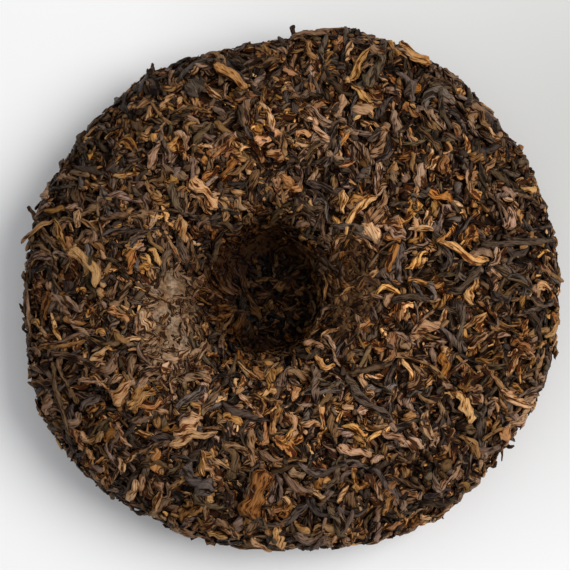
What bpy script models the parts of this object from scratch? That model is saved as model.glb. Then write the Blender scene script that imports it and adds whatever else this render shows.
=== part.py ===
"""A small pressed cake of ripe pu erh tea, lying with its dimpled back up.

The cake is one piece: a core turned from a profile, made uneven, with the larger
twisted leaves that show on its skin fused on at true size. Metres, +Z up. The
origin is the middle of the cake's box, on the surface that the cake lies on.
"""

import math
import random

import bmesh
import bpy
from mathutils import Vector, noise

# The cake's driving dimensions.
CAKE_DIAMETER = 0.1053
RIM_HEIGHT = 0.0092
BACK_RISE = 0.0106
FRONT_DROP = 0.0097
BACK_FULLNESS = 3.0
FRONT_FULLNESS = 2.2

# The cloth's knot leaves a wide shallow dish with a deep pit in it, off centre.
DISH_DEPTH = 0.0030
DISH_RADIUS = 0.0215
PIT_DEPTH = 0.0125
PIT_RADIUS = 0.0112
PIT_STEEPNESS = 9.0
PIT_STRETCH = 0.12
DIMPLE_OFFSET = Vector((-0.0064, -0.0003, 0.0))
DIMPLE_HELD_RADIUS = 0.020
DIMPLE_FREE_RADIUS = 0.046
PIT_LEAN = 0.25

# The outline is out of round: how many lobes, their share of the radius, their turn in
# degrees, and a lump that stands out at one place.
OUTLINE_LOBES = (
    (2, 0.0234, 46.0),
    (3, 0.0103, -144.0),
    (4, 0.0117, -178.0),
    (5, 0.0102, -18.0),
    (6, 0.0035, 47.0),
    (7, 0.0034, 69.0),
    (8, 0.0052, -161.0),
)
LUMP_ANGLE = math.radians(82.0)
LUMP_REACH = (math.radians(5.0), math.radians(10.0))
LUMP_SHARE = 0.022

# The hand-pressed skin rises and falls, broadly and in bumps the size of a leaf.
SWELL_HEIGHT = 0.0007
SWELL_LENGTH = 0.020
BUMP_HEIGHT = 0.0011
BUMP_LENGTH = 0.0038
BUMP_SHIFT = Vector((7.0, 3.0, 1.0))
NOISE_CLEAR_OF_BASE = 0.0015

# The mesh of the core.
CORE_TURNS = 34
CORE_RINGS = 27
CLOSER_IN_DISH = 1.9
PROFILE_SAMPLES = 400
POLE_MERGE = 1e-5
SLOPE_STEP = 0.002

# The leaves fused to the core.
LEAF_COUNT = 325
LEAF_KINDS = (
    {"length": (0.0090, 0.0160), "width": (0.0024, 0.0038), "steps": 3},
    {"length": (0.0052, 0.0085), "width": (0.0022, 0.0034), "steps": 2},
    {"length": (0.0046, 0.0075), "width": (0.0020, 0.0030), "steps": 2},
)
LEAF_PROUD = (0.0007, 0.0012)
LEAF_EDGE_PROUD = 0.0004
LEAF_SUNK = 0.0011
LEAF_CURL = 60.0
LEAF_TWIST = 0.25
LEAF_LOWEST = 0.0003
LEAF_CLEAR_OF_BASE = 0.0007
LEAF_CLEAR_OF_PIT = 0.0035
GOLDEN_ANGLE = math.pi * (3.0 - math.sqrt(5.0))
SEED = 357

TEA_BROWN = (0.055, 0.030, 0.015, 1.0)
TEA_ROUGHNESS = 0.7


def fade(value, low, high):
    """1 below low, 0 above high, and smooth between them."""
    share = min(1.0, max(0.0, (value - low) / (high - low)))
    return 1.0 - share * share * (3.0 - 2.0 * share)


def back_height(radius):
    """Height of the dimpled back above the table."""
    share = min(1.0, radius / (CAKE_DIAMETER / 2))
    rise = BACK_RISE * (1.0 - share**BACK_FULLNESS) ** (1.0 / BACK_FULLNESS)
    dish = DISH_DEPTH * math.exp(-((radius / DISH_RADIUS) ** 4))
    pit = PIT_DEPTH / (1.0 + (radius / PIT_RADIUS) ** PIT_STEEPNESS)
    return RIM_HEIGHT + rise - dish - pit


def front_height(radius):
    """Height of the domed front, pressed flat where the cake rests on it."""
    share = min(1.0, radius / (CAKE_DIAMETER / 2))
    drop = FRONT_DROP * (1.0 - share**FRONT_FULLNESS) ** (1.0 / FRONT_FULLNESS)
    return max(0.0, RIM_HEIGHT - drop)


def even_profile(count, closer=1.0):
    """Points (radius, height) at even steps, or closer in the dish, from the pit to the base."""
    rim = CAKE_DIAMETER / 2
    eased = [math.sin(0.5 * math.pi * i / PROFILE_SAMPLES) for i in range(PROFILE_SAMPLES + 1)]
    fine = [(rim * s, back_height(rim * s)) for s in eased]
    fine += [(rim * s, front_height(rim * s)) for s in reversed(eased[:-1])]
    reach = [0.0]
    for (r0, z0), (r1, z1) in zip(fine, fine[1:]):
        weight = closer if r1 < DISH_RADIUS and z1 > front_height(r1) else 1.0
        reach.append(reach[-1] + math.hypot(r1 - r0, z1 - z0) * weight)
    points, k = [], 0
    for i in range(count + 1):
        wanted = reach[-1] * i / count
        while k < len(reach) - 2 and reach[k + 1] < wanted:
            k += 1
        share = (wanted - reach[k]) / (reach[k + 1] - reach[k])
        points.append(tuple(a + share * (b - a) for a, b in zip(fine[k], fine[k + 1])))
    return points


def warped(point):
    """Moves a point of the turned cake to its place on the uneven real one."""
    radius = math.hypot(point.x, point.y)
    angle = math.atan2(point.y, point.x)
    on_back = point.z > (back_height(radius) + front_height(radius)) / 2
    outward = 1.0 - fade(radius, DISH_RADIUS, CAKE_DIAMETER / 2)
    lobes = sum(a * math.cos(n * angle - math.radians(turn)) for n, a, turn in OUTLINE_LOBES)
    lobes += LUMP_SHARE * fade(abs(angle - LUMP_ANGLE), *LUMP_REACH)
    place = Vector((point.x, point.y, 0.0)) * (1.0 + lobes * outward)
    if on_back:
        depth = max(0.0, RIM_HEIGHT + BACK_RISE - DISH_DEPTH - point.z)
        place += DIMPLE_OFFSET * fade(radius, DIMPLE_HELD_RADIUS, DIMPLE_FREE_RADIUS)
        in_pit = fade(radius, PIT_RADIUS, DISH_RADIUS)
        place.x += PIT_LEAN * depth * in_pit
        place.y *= 1.0 + PIT_STRETCH * in_pit
    place.z = point.z
    if on_back and radius < DISH_RADIUS:
        away = Vector((0.0, 0.0, 1.0))
    else:
        steepness = (CAKE_DIAMETER / 2 / BACK_RISE) ** 2
        away = Vector((place.x, place.y, (point.z - RIM_HEIGHT) * steepness)).normalized()
    swell = noise.noise(place / SWELL_LENGTH) * SWELL_HEIGHT
    bump = noise.noise(place / BUMP_LENGTH + BUMP_SHIFT) * BUMP_HEIGHT
    rough = 1.0 - fade(point.z, 0.0, NOISE_CLEAR_OF_BASE)
    return place + away * (swell + bump) * rough


class Skin:
    """The cake's surface, by a turn angle and a share of the way along the profile."""

    def __init__(self):
        self.profile = even_profile(PROFILE_SAMPLES)
        self.area = [0.0]
        for (r0, z0), (r1, z1) in zip(self.profile, self.profile[1:]):
            ring = math.pi * (r0 + r1) * math.hypot(r1 - r0, z1 - z0)
            self.area.append(self.area[-1] + ring)

    def turned(self, angle, share):
        k = min(PROFILE_SAMPLES - 1, max(0, int(share * PROFILE_SAMPLES)))
        part = share * PROFILE_SAMPLES - k
        (r0, z0), (r1, z1) = self.profile[k], self.profile[k + 1]
        radius, height = r0 + part * (r1 - r0), z0 + part * (z1 - z0)
        return Vector((radius * math.cos(angle), radius * math.sin(angle), height))

    def point(self, angle, share):
        return warped(self.turned(angle, share))

    def frame(self, angle, share):
        """The point, the metres for each unit of angle and of share, and the normal."""
        step = SLOPE_STEP
        by_angle = (self.point(angle + step, share) - self.point(angle - step, share)) / (2 * step)
        by_share = (self.point(angle, share + step) - self.point(angle, share - step)) / (2 * step)
        normal = by_share.cross(by_angle).normalized()
        return self.point(angle, share), by_angle, by_share, normal

    def share_of_area(self, share):
        """The place along the profile that has this share of the skin's area before it."""
        wanted = share * self.area[-1]
        k = next(i for i, a in enumerate(self.area) if a >= wanted)
        return k / PROFILE_SAMPLES


def mesh_object(name, mesh, collection):
    obj = bpy.data.objects.new(name, mesh)
    collection.objects.link(obj)
    return obj


def make_core(collection):
    """Turns the profile with a Screw modifier, then moves each point to its uneven place."""
    mesh = bpy.data.meshes.new("core_profile")
    points = even_profile(CORE_RINGS, CLOSER_IN_DISH)
    points[0] = (0.0, points[0][1])
    points[-1] = (0.0, 0.0)
    edges = [(i, i + 1) for i in range(len(points) - 1)]
    mesh.from_pydata([(r, 0.0, z) for r, z in points], edges, [])
    profile = mesh_object("core_profile", mesh, collection)
    screw = profile.modifiers.new("Turn", "SCREW")
    screw.axis = "Z"
    screw.steps = screw.render_steps = CORE_TURNS
    screw.use_merge_vertices = True
    screw.merge_threshold = POLE_MERGE
    bpy.context.view_layer.update()
    evaluated = profile.evaluated_get(bpy.context.evaluated_depsgraph_get())
    turned = bpy.data.meshes.new_from_object(evaluated)
    bpy.data.objects.remove(profile)
    for vertex in turned.vertices:
        vertex.co = warped(vertex.co)
    bm = bmesh.new()
    bm.from_mesh(turned)
    bmesh.ops.triangulate(bm, faces=bm.faces)
    bmesh.ops.recalc_face_normals(bm, faces=bm.faces)
    bm.to_mesh(turned)
    bm.free()
    return mesh_object("tea_cake", turned, collection)


def leaf_path(skin, angle, share, heading, length, curl, steps):
    """Follows a leaf along the skin: (point, direction, normal) at each ring."""
    stride = length / steps
    _, by_angle, by_share, _ = skin.frame(angle, share)
    angle -= math.cos(heading) * length / 2 / by_angle.length
    share -= math.sin(heading) * length / 2 / by_share.length
    heading -= curl / 2
    path = []
    for _ in range(steps + 1):
        point, by_angle, by_share, normal = skin.frame(angle, share)
        along = by_angle.normalized() * math.cos(heading) + by_share.normalized() * math.sin(heading)
        path.append((point, along.normalized(), normal))
        angle += math.cos(heading) * stride / by_angle.length
        share += math.sin(heading) * stride / by_share.length
        heading += curl / steps
    return path


def leaf_mesh(path, width, proud, twist):
    """A closed strip with pointed ends: its top stands proud and its keel is in the core."""
    bm = bmesh.new()
    rings = []
    for i, (point, along, normal) in enumerate(path[1:-1]):
        side = along.cross(normal) * width
        roll = twist * (i - (len(path) - 3) / 2)
        corners = (
            point + side * 0.5 + normal * LEAF_EDGE_PROUD,
            point + side * roll + normal * proud,
            point - side * 0.5 + normal * LEAF_EDGE_PROUD,
            point - normal * LEAF_SUNK,
        )
        for corner in corners:
            corner.z = max(corner.z, LEAF_LOWEST)
        rings.append([bm.verts.new(c) for c in corners])
    start = bm.verts.new(path[0][0])
    end = bm.verts.new(path[-1][0])
    sides = len(rings[0])
    for i in range(sides):
        j = (i + 1) % sides
        bm.faces.new((start, rings[0][j], rings[0][i]))
        for low, high in zip(rings, rings[1:]):
            bm.faces.new((low[i], low[j], high[j]))
            bm.faces.new((low[i], high[j], high[i]))
        bm.faces.new((rings[-1][i], rings[-1][j], end))
    bmesh.ops.recalc_face_normals(bm, faces=bm.faces)
    mesh = bpy.data.meshes.new("leaf")
    bm.to_mesh(mesh)
    bm.free()
    return mesh


def make_leaves(skin, collection):
    """Spreads the leaves over the skin by the golden angle, each with its own size and lie."""
    draw = random.Random(SEED)
    for i in range(LEAF_COUNT):
        kind = LEAF_KINDS[i % len(LEAF_KINDS)]
        share = skin.share_of_area((i + 0.5) / LEAF_COUNT)
        angle = i * GOLDEN_ANGLE
        heading = draw.uniform(0.0, 2.0 * math.pi)
        length = draw.uniform(*kind["length"])
        width = draw.uniform(*kind["width"])
        proud = draw.uniform(*LEAF_PROUD)
        curl = math.radians(draw.uniform(-LEAF_CURL, LEAF_CURL))
        twist = draw.uniform(-LEAF_TWIST, LEAF_TWIST)
        middle = skin.turned(angle, share)
        radius = math.hypot(middle.x, middle.y)
        on_base = middle.z < LEAF_CLEAR_OF_BASE
        if on_base or radius < LEAF_CLEAR_OF_PIT:
            continue
        path = leaf_path(skin, angle, share, heading, length, curl, kind["steps"])
        mesh_object(f"leaf_{i:03d}", leaf_mesh(path, width, proud, twist), collection)


def keep_main_body(mesh):
    """Drops loose scraps, and the walls of hollows that the leaves have sealed."""
    bm = bmesh.new()
    bm.from_mesh(mesh)
    left = set(bm.verts)
    bodies = []
    while left:
        reached, edge = set(), [left.pop()]
        while edge:
            vertex = edge.pop()
            reached.add(vertex)
            near = [e.other_vert(vertex) for e in vertex.link_edges]
            edge += [v for v in near if v in left]
            left.difference_update(near)
        bodies.append(reached)
    main = max(bodies, key=len)
    scraps = [v for body in bodies if body is not main for v in body]
    bmesh.ops.delete(bm, geom=scraps, context="VERTS")
    bmesh.ops.triangulate(bm, faces=bm.faces)
    bm.to_mesh(mesh)
    bm.free()


def fuse(cake, leaves):
    """Joins the leaves to the core in one union, and applies it."""
    union = cake.modifiers.new("Leaves", "BOOLEAN")
    union.operation = "UNION"
    union.operand_type = "COLLECTION"
    union.collection = leaves
    union.solver = "MANIFOLD"
    bpy.context.view_layer.update()
    evaluated = cake.evaluated_get(bpy.context.evaluated_depsgraph_get())
    fused = bpy.data.meshes.new_from_object(evaluated)
    cake.modifiers.clear()
    cake.data = fused
    fused.name = "tea_cake"
    for leaf in list(leaves.objects):
        bpy.data.objects.remove(leaf)
    bpy.data.collections.remove(leaves)
    keep_main_body(fused)


def centre_on_origin(cake):
    """Stands the cake on the table with the middle of its box over the origin."""
    corners = [v.co for v in cake.data.vertices]
    low = Vector(min(c[i] for c in corners) for i in range(3))
    high = Vector(max(c[i] for c in corners) for i in range(3))
    shift = Vector(((low.x + high.x) / 2, (low.y + high.y) / 2, low.z))
    for vertex in cake.data.vertices:
        vertex.co -= shift


def tea_material():
    material = bpy.data.materials.new("pressed_tea")
    material.use_nodes = True
    shader = material.node_tree.nodes["Principled BSDF"]
    shader.inputs["Base Color"].default_value = TEA_BROWN
    shader.inputs["Roughness"].default_value = TEA_ROUGHNESS
    shader.inputs["Metallic"].default_value = 0.0
    return material


def main():
    for obj in list(bpy.data.objects):
        bpy.data.objects.remove(obj)
    parts = bpy.data.collections.new("pu_erh_tea_cake")
    leaves = bpy.data.collections.new("leaves")
    bpy.context.scene.collection.children.link(parts)
    bpy.context.scene.collection.children.link(leaves)
    cake = make_core(parts)
    make_leaves(Skin(), leaves)
    fuse(cake, leaves)
    centre_on_origin(cake)
    cake.data.materials.clear()
    cake.data.materials.append(tea_material())


main()
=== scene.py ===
"""Looks of a small pressed cake of ripe pu erh tea, lying with its dimpled back up.

The cake's solid is replaced by a dark core of crushed leaf with several thousand leaves,
buds, stems and crumbs packed onto it, each a closed mesh of its own size, twist and
colour. They are laid one at a time: each rests on what already lies under it, and is
pressed down to the cake's skin. Metres, +Z up.
"""

import math

import bmesh
import bpy
import numpy as np
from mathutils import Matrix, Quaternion, Vector, noise
from mathutils.kdtree import KDTree

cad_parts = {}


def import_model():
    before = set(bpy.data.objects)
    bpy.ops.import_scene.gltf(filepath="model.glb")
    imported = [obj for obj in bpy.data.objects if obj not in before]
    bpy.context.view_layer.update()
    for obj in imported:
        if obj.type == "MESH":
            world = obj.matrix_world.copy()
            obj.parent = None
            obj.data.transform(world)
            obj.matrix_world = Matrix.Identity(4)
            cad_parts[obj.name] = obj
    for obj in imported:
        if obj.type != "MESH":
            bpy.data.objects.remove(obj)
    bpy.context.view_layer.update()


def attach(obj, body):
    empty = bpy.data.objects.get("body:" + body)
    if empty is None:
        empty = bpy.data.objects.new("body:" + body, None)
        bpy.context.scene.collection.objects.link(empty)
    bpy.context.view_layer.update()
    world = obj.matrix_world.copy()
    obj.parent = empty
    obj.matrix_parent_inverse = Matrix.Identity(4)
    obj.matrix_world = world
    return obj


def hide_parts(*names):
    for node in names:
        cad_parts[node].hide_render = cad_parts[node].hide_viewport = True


SEED = 1973
GOLDEN_ANGLE = math.pi * (3.0 - math.sqrt(5.0))

# The cake's form, with the same values as its solid.
CAKE_DIAMETER = 0.1053
RIM_HEIGHT = 0.0092
BACK_RISE = 0.0106
FRONT_DROP = 0.0097
BACK_FULLNESS = 3.0
FRONT_FULLNESS = 2.2
DISH_DEPTH = 0.0030
DISH_RADIUS = 0.0215
PIT_DEPTH = 0.0125
PIT_RADIUS = 0.0112
PIT_STEEPNESS = 9.0
PIT_FLOOR = RIM_HEIGHT + BACK_RISE - DISH_DEPTH - PIT_DEPTH
PIT_STRETCH = 0.12
DIMPLE_OFFSET = np.array([-0.0064, -0.0003])
DIMPLE_HELD_RADIUS = 0.020
DIMPLE_FREE_RADIUS = 0.046
PIT_LEAN = 0.25
OUTLINE_LOBES = (
    (2, 0.0234, 46.0),
    (3, 0.0103, -144.0),
    (4, 0.0117, -178.0),
    (5, 0.0102, -18.0),
    (6, 0.0035, 47.0),
    (7, 0.0034, 69.0),
    (8, 0.0052, -161.0),
)
LUMP_ANGLE = math.radians(82.0)
LUMP_REACH = (math.radians(5.0), math.radians(10.0))
LUMP_SHARE = 0.022
SWELL_HEIGHT = 0.0007
SWELL_LENGTH = 0.020
BUMP_HEIGHT = 0.0006
BUMP_LENGTH = 0.0038
BUMP_SHIFT = (7.0, 3.0, 1.0)
NOISE_CLEAR_OF_BASE = 0.0015

# How the skin is sampled, and how far below it the bare core lies.
PROFILE_SAMPLES = 600
SKIN_POINTS = 170000
SLOPE_STEP = 0.003
SKIN_DEPTH = 0.0010

# The core's relief: crushed leaf, in crumbs of two sizes, flatter in the fine zones.
CORE_SUBDIVISIONS = 6
CRUMB_LENGTHS = (0.0022, 0.0009)
CRUMB_HEIGHTS = (0.00035, 0.00025)
FINE_RELIEF_LOST = 0.4
# The core's own dark brown, made darker still as painted shade for the gaps between leaves, where it
# shows.
CORE_TINT = np.array([0.024, 0.011, 0.004])

# Each leaf lies on the pile below it, pressed to at most its layer's cap above the core.
# Only the last layer shows whole, so only it has a fine mesh: its rings and sides. Where
# the skin faces down by more than this, the mesh is the coarser one for below.
LAYERS = (
    {"leaves": 1300, "cap": (0.0005, 0.0009), "mesh": (5, 5)},
    {"leaves": 1800, "cap": (0.0009, 0.0013), "mesh": (7, 6)},
    {"leaves": 3300, "cap": (0.0011, 0.0021), "mesh": (10, 9)},
)
NOTED_MESH = (13, 11)
BELOW_MESH = (8, 7)
UNDERSIDE = -0.35
# A point's lift is its height over the core in this unit, up to the most lift: the lower it is, the more
# painted shade it gets down in the pile.
HEIGHT_OF_PILE = 0.0016
MOST_LIFT = 1.05

# A leaf goes to the lowest of a few places tried, give or take this slack.
PLACES_TRIED = 7
PLACE_SLACK = 0.0003

# Below this height the cake lies on the table: no leaf stands out there, or comes closer
# to the table than this clearance.
RESTING_HEIGHT = 0.001
BASE_CLEARANCE = 0.00005

# How a leaf rests on the pile: where across it the pile is felt, in widths, how much of its
# own depth its middle lies above that, how far its ends tip, and the share that is kept of
# what stands over its cap. The pile is then raised under it at these steps, between shares
# of its length near its two ends.
FELT_AT = (-0.3, -0.1, 0.1, 0.3)
RESTING_DEPTH = 0.35
TIP_SPREAD = 0.0004
OVERSHOOT_KEPT = 0.2
FOOTPRINT_STEP = 0.0003
FOOTPRINT_ENDS = (0.02, 0.98)

# A stiff leaf's ends stand off a rounded part by this share of the drop under them.
SPRING = 0.60
MOST_SPRING = 0.0018

# Neighbouring leaves run roughly the same way, over about this length.
FLOW_LENGTH = 0.011
FLOW_SPREAD = 50.0

# The bends along a leaf, in radians at each step: small wanders, and a few sharp kinks.
BEND_STEP = 0.0018
WANDER = 0.11
KINK = 0.45
KINK_SHARE = 0.12

# A leaf's own unevenness, in shares of its width and depth: how its middle line sways, how
# its rings swell, how each corner stands in or out, and how its sides slide along it. One
# side in four is a groove, the whole leaf is cupped, it rolls over by some degrees, and its
# rings crowd by this share towards its ends. Smoothing shrinks a wander, so it is made up.
SMOOTHING_MADE_UP = 1.6
SWAY_ASIDE = 0.10
SWAY_UP = 0.09
WIDTH_SPREAD = 0.20
DEPTH_SPREAD = 0.18
CORNER_SPREAD = 0.11
SIDE_SLIDE = 0.08
SIDES_PER_GROOVE = 4
GROOVE_DEPTH = (0.25, 0.55)
MOST_CUP = 0.6
ROLL_SPREAD = 18.0
ENDS_CROWDED = 0.6

# The power that makes short and dark leaves commoner than long and pale ones.
COMMONER_LOW = 1.3

# Each leaf's own tint varies in green and blue with its warmth, and in brightness.
GREEN_BY_WARMTH = (1.160, 0.255)
BLUE_BY_WARMTH = (1.64, 1.08)
GREEN_SPREAD = (0.96, 1.04)
BRIGHTNESS = (1.11, 1.41)

# Where the knot rubbed, beside the pit and in it, the skin is fine broken leaf: the zone's
# middle and reach along X and Y, the share of whole leaves left on it, how thickly the fine
# tea coats them, and its tint. The first zone's pale tint is partly the dust's own and partly
# painted light on its slope towards the lamp; the second's dark tint, coated over its leaves,
# is partly brown dust and partly painted shade on its slope turned away. A zone fades out
# between these shares of its reach.
FINE_ZONES = (
    ((-0.0240, -0.0085), (0.0062, 0.0125), 0.30, 0.60, (0.196, 0.122, 0.073)),
    ((0.0116, -0.0024), (0.0058, 0.0115), 0.55, 0.45, (0.066, 0.032, 0.012)),
    ((-0.0062, -0.0006), (0.0105, 0.0125), 0.15, 0.85, (0.110, 0.046, 0.013)),
)
ZONE_EDGE = (0.70, 1.20)
FINE_SKIN_DEPTH = 0.00015

# What a fine zone's rubbing leaves of a leaf's cap, length, width and depth.
RUBBED_CAP = 0.75
RUBBED_LENGTH = 0.6
RUBBED_WIDTH = 0.7
RUBBED_DEPTH = 0.6

# Well inside a zone the crumbs are flat flakes, pressed low into it, in patches of tint, and
# their least lift spares them the darkest painted shade of the pile. Some are left out, so
# that the core shows between them with patches of its own.
FLAKE_INSIDE = 0.4
FLAKES_SKIPPED = 0.40
FLAKE_PATCH_LENGTH = 0.0032
FLAKE_PATCH = 0.8
RUBBED_PATCH = np.array([0.5, 0.8, 1.2])
FLAKE_BRIGHTNESS = (0.45, 1.0)
FLAKE_STRETCH = (1.4, 1.9, 0.35)
FLAKE_CAP = 0.00105
FLAKE_SHAPE = {"ridge": 0.10, "least_lift": 0.70}

# Painted shade in the dimple, which darkens with depth: how much of a tint is left at the bottom
# of the pit, how steeply it goes, how far out the darkening fades away, and how much sooner green
# and blue go than red. The painted shade is lighter on the pit's side away from its darkest X,
# and the dish round it is a little darkened too, as painted shade.
PIT_LEFT_UNDER_PAINTED_SHADE = 0.14
PIT_PAINTED_SHADE_POWER = 0.7
PIT_PAINTED_SHADE_REACH = (0.0140, 0.0220)
PIT_PAINTED_SHADE_WARMTH = (1.0, 1.10, 1.30)
PIT_DARKEST_X = -0.0045
PIT_SIDE_EASING_PAINTED_SHADE = 0.38
PIT_SIDE_RANGE = (-0.35, 1.0)
LIP_PAINTED_SHADE = 0.25
LIP_PAINTED_SHADE_REACH = (0.0160, 0.0260)

# Painted light: the side that way, towards the lamp, is a little paler than the other.
# Painted shade: the rim is darker than the middle.
PAINTED_LIGHT_WAY = (0.17, 0.0)
RIM_LEFT_UNDER_PAINTED_SHADE = 0.74
RIM_REACH = (0.0290, 0.0470)
MIDDLE_PAINTED_LIGHT = 1.17

# The kinds of tea in the cake. Each pair runs from the least to the most. Each leaf's own
# tint is multiplied by the shades, painted shade and highlight from the dark of its folds to
# the pale of its ridges: the second is painted half shade, where it lies half hidden, and is
# warmer than a mix of the other two.
HALF_SHADE = 0.30
PALEST = 3.0
KINDS = {
    "black_strips": {
        "share": 0.22,
        "length": (0.0036, 0.0105),
        "width": (0.0011, 0.0018),
        "depth": (0.50, 0.75),
        "bend": 80.0,
        "turns": (0.2, 1.1),
        "ridge": 0.14,
        "blunt": (1.8, 4.0),
        "tints": ((0.022, 0.014, 0.009), (0.058, 0.042, 0.029)),
        "shades": ((0.20, 0.10, 0.040), (1.04, 0.85, 0.65), (1.85, 1.72, 1.64)),
        "warmth": (0.15, 1.0),
        "finish": (0.46, 0.10),
        "fibres": 3300.0,
    },
    "dark_strips": {
        "share": 0.24,
        "length": (0.0032, 0.0085),
        "width": (0.0012, 0.0020),
        "depth": (0.42, 0.65),
        "bend": 70.0,
        "turns": (0.1, 1.0),
        "ridge": 0.15,
        "blunt": (1.8, 4.0),
        "tints": ((0.046, 0.027, 0.015), (0.098, 0.059, 0.035)),
        "shades": ((0.20, 0.10, 0.040), (1.17, 0.95, 0.70), (2.20, 2.10, 2.06)),
        "warmth": (0.15, 1.0),
        "finish": (0.48, 0.09),
        "fibres": 3200.0,
    },
    "brown_strips": {
        "share": 0.24,
        "length": (0.0028, 0.0075),
        "width": (0.0012, 0.0021),
        "depth": (0.38, 0.60),
        "bend": 70.0,
        "turns": (0.0, 0.9),
        "ridge": 0.15,
        "blunt": (1.8, 4.5),
        "tints": ((0.102, 0.054, 0.024), (0.196, 0.107, 0.051)),
        "shades": ((0.19, 0.095, 0.034), (1.02, 0.81, 0.56), (1.74, 1.77, 1.96)),
        "warmth": (0.15, 1.15),
        "finish": (0.48, 0.09),
        "fibres": 3200.0,
    },
    "russet_leaves": {
        "share": 0.11,
        "length": (0.0023, 0.0060),
        "width": (0.0013, 0.0026),
        "depth": (0.18, 0.34),
        "bend": 50.0,
        "turns": (0.0, 0.4),
        "ridge": 0.16,
        "blunt": (2.2, 6.0),
        "tints": ((0.118, 0.053, 0.020), (0.220, 0.104, 0.042)),
        "shades": ((0.19, 0.095, 0.034), (0.95, 0.75, 0.52), (1.56, 1.58, 1.74)),
        "warmth": (0.40, 1.15),
        "finish": (0.50, 0.08),
        "fibres": 3000.0,
    },
    "golden_buds": {
        "share": 0.15,
        "length": (0.0028, 0.0070),
        "width": (0.0010, 0.0018),
        "depth": (0.42, 0.66),
        "bend": 85.0,
        "turns": (0.0, 0.7),
        "ridge": 0.14,
        "blunt": (1.5, 3.0),
        "tints": ((0.230, 0.118, 0.043), (0.355, 0.199, 0.083)),
        "shades": ((0.20, 0.095, 0.034), (0.91, 0.72, 0.50), (1.40, 1.44, 1.64)),
        "warmth": (0.25, 0.92),
        "finish": (0.48, 0.09),
        "fibres": 3300.0,
    },
    "stems": {
        "share": 0.04,
        "length": (0.0048, 0.0120),
        "width": (0.0007, 0.0010),
        "depth": (0.75, 0.95),
        "bend": 50.0,
        "turns": (0.0, 0.4),
        "ridge": 0.07,
        "blunt": (4.0, 7.0),
        "tints": ((0.030, 0.018, 0.011), (0.130, 0.070, 0.034)),
        "shades": ((0.18, 0.090, 0.040), (0.95, 0.75, 0.52), (1.65, 1.62, 1.60)),
        "warmth": (0.30, 1.0),
        "finish": (0.48, 0.09),
        "fibres": 3600.0,
    },
}

# Broken leaf that fills the gaps, and dust in the fine zones, as kinds with their own mesh.
CRUMBS = {
    "broken_leaf": {
        "count": 2000,
        "length": (0.0008, 0.0026),
        "width": (0.0005, 0.0013),
        "depth": (0.25, 0.50),
        "ridge": 0.25,
        "mesh": (4, 6),
        "everywhere": 1.0,
    },
    "tea_dust": {
        "count": 2500,
        "length": (0.0004, 0.0012),
        "width": (0.0003, 0.0007),
        "depth": (0.25, 0.50),
        "ridge": 0.25,
        "mesh": (2, 5),
        "everywhere": 0.45,
    },
}
ANY_CRUMB = {
    "turns": (0.0, 0.2),
    "blunt": (1.5, 5.0),
    "shades": ((0.15, 0.080, 0.035), (0.90, 0.71, 0.50), (1.48, 1.50, 1.55)),
    "warmth": (0.30, 1.0),
    "finish": (0.60, 0.08),
    "fibres": 2500.0,
}

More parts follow.
